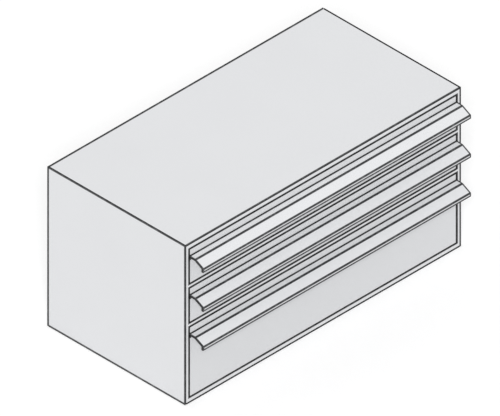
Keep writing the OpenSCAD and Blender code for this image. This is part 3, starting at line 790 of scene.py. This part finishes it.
def make_nut():
    """Press-in nut, standing on the origin: chamfered, with its thread and a groove round its shank."""
    wall = M8_R
    groove = NUT_SHANK_R - NUT_GROOVE_DEPTH
    nut = turn([
        (wall + NUT_CHAMFER, 0), (NUT_SHANK_R, 0), (NUT_SHANK_R, NUT_CHAMFER), (groove, NUT_GROOVE_LOW),
        (groove, NUT_BODY_LOW), (NUT_BODY_R - NUT_LOW_CHAMFER, NUT_BODY_LOW),
        (NUT_BODY_R, NUT_BODY_LOW + NUT_LOW_CHAMFER), (NUT_BODY_R, NUT_TOP - NUT_CHAMFER),
        (NUT_BODY_R - NUT_CHAMFER, NUT_TOP), (wall + NUT_CHAMFER, NUT_TOP), (wall, NUT_TOP - NUT_CHAMFER),
        (wall, NUT_CHAMFER), (wall + NUT_CHAMFER, 0)])
    combine(nut, add_ridge(wall + NUT_THREAD_SINK, NUT_BORE_R, PITCHES[M8_R], NUT_TOP, 0), "UNION")
    smooth(nut)
    return nut


def fit(node, body, material, copies):
    """Puts modelled copies in the place of a node's plain solids."""
    made = join_copies(f"{node}_modelled", copies)
    made.data.materials.clear()
    made.data.materials.append(material)
    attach(made, body)
    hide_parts(node)


def rear_end(low, high):
    """The rear end of the axis of a solid that lies along Y."""
    return Vector(((low.x + high.x) / 2, high.y, (low.z + high.z) / 2))


def along_x(node, piece, heads_inside):
    """Copies on the axes of solids that lie along X, the same on the left as on the right."""
    copies = []
    for low, high in solids(node):
        spot = (low + high) / 2
        inward = Vector((-1 if spot.x > 0 else 1, 0, 0))
        inner, outer = (low.x, high.x) if spot.x > 0 else (high.x, low.x)
        spot.x = inner if heads_inside else outer + inward.x * RIVET_HEAD_H
        copies.append((piece, spot, inward))
    return copies


def add_fasteners():
    """Replaces the plain fasteners by modelled ones at the same places."""
    steel = turned_steel("fastener_steel")
    back_screw = make_flat_screw(M4_R, BACK_SCREW_LENGTH)
    slide_screw = make_flat_screw(M5_R, SLIDE_SCREW_LENGTH)
    rivet = make_rivet()
    nut = make_nut()
    drawer_screws = {}
    to_rear = Vector((0, 1, 0))
    to_top = Vector((0, 0, 1))
    fit("back_screws", "cabinet", steel, [
        (back_screw, rear_end(low, high), to_rear) for low, high in solids("back_screws")])
    fit("slide_screws", "cabinet", steel, along_x("slide_screws", slide_screw, True))
    fit("base_nuts", "cabinet", zinc_plate("nut_zinc"), [
        (nut, Vector(((low.x + high.x) / 2, (low.y + high.y) / 2, low.z)), to_top)
        for low, high in solids("base_nuts")])
    for n in DRAWERS:
        copies = []
        for low, high in solids(f"drawer_{n}_screws"):
            length = round((high.y - low.y - PAN_H) / MM, 1)
            if length not in drawer_screws:
                drawer_screws[length] = make_pan_screw(M4_R, length * MM)
            copies.append((drawer_screws[length], rear_end(low, high), to_rear))
        fit(f"drawer_{n}_screws", f"drawer_{n}", steel, copies)
        fit(f"drawer_{n}_rivets", f"drawer_{n}", steel, along_x(f"drawer_{n}_rivets", rivet, False))
    for piece in (back_screw, slide_screw, rivet, nut, *drawer_screws.values()):
        bpy.data.objects.remove(piece)


# Studio

WHITE = (1, 1, 1, 1)
SKY_LEVEL = 0.7
FLOOR_TONE = 0.7
FLOOR_GLOW = 0.36
FLOOR_SIZE = 8.0
KEY_POWER = 1.6
KEY_WIDTH = math.radians(10)


class Backdrop(Shading):
    """Shading of a surrounding that shows brighter than it lights the unit."""

    def __init__(self, owner):
        super().__init__(owner)
        self.tree.nodes.clear()

    def show(self, kind, lighting, seen):
        """Mixes both into the output of this kind. Camera, glossy and transmission rays get what is seen."""
        rays = [self.node("ShaderNodeLightPath", {}, {}, name)
                for name in ("Is Camera Ray", "Is Glossy Ray", "Is Transmission Ray")]
        mix = self.node("ShaderNodeMixShader", {}, {0: rays[0].most(*rays[1:]), 1: lighting, 2: seen})
        self.node(kind, {}, {"Surface": mix})


def add_world():
    """A white surround that lights the unit evenly."""
    world = bpy.data.worlds.new("studio")
    bpy.context.scene.world = world
    sky = Backdrop(world)
    light = sky.node("ShaderNodeBackground", {}, {"Color": WHITE, "Strength": SKY_LEVEL})
    white = sky.node("ShaderNodeBackground", {}, {"Color": WHITE, "Strength": 1.0})
    sky.show("ShaderNodeOutputWorld", light, white)


def add_floor():
    """A pale floor whose lit parts show white and which keeps the unit's soft shadow."""
    deselect()
    bpy.ops.mesh.primitive_plane_add(size=FLOOR_SIZE, location=(0, 0, cad_low.z))
    floor = bpy.context.object
    floor.name = "floor"
    material = bpy.data.materials.new("studio_floor")
    ground = Backdrop(material)
    matt = ground.node("ShaderNodeBsdfDiffuse", {}, {"Color": (FLOOR_TONE, FLOOR_TONE, FLOOR_TONE, 1)})
    glow = ground.node("ShaderNodeEmission", {}, {"Color": WHITE, "Strength": FLOOR_GLOW})
    ground.show("ShaderNodeOutputMaterial", matt, ground.node("ShaderNodeAddShader", {}, {0: matt, 1: glow}))
    floor.data.materials.append(material)


def add_key_light():
    """A soft light from the drawing's side, which falls alike on the top, the left and the front."""
    data = bpy.data.lights.new("key_light", "SUN")
    data.energy = KEY_POWER
    data.angle = KEY_WIDTH
    lamp = bpy.data.objects.new("key_light", data)
    lamp.location = view_back() * CAMERA_DISTANCE
    lamp.rotation_mode = "QUATERNION"
    lamp.rotation_quaternion = (-view_back()).to_track_quat("-Z", "Y")
    bpy.context.scene.collection.objects.link(lamp)


bpy.context.scene.view_settings.view_transform = "Standard"
add_camera()
paint_case()
for drawer in DRAWERS:
    paint_drawer(drawer)
finish_metal_and_rubber()
add_fasteners()
add_world()
add_floor()
add_key_light()
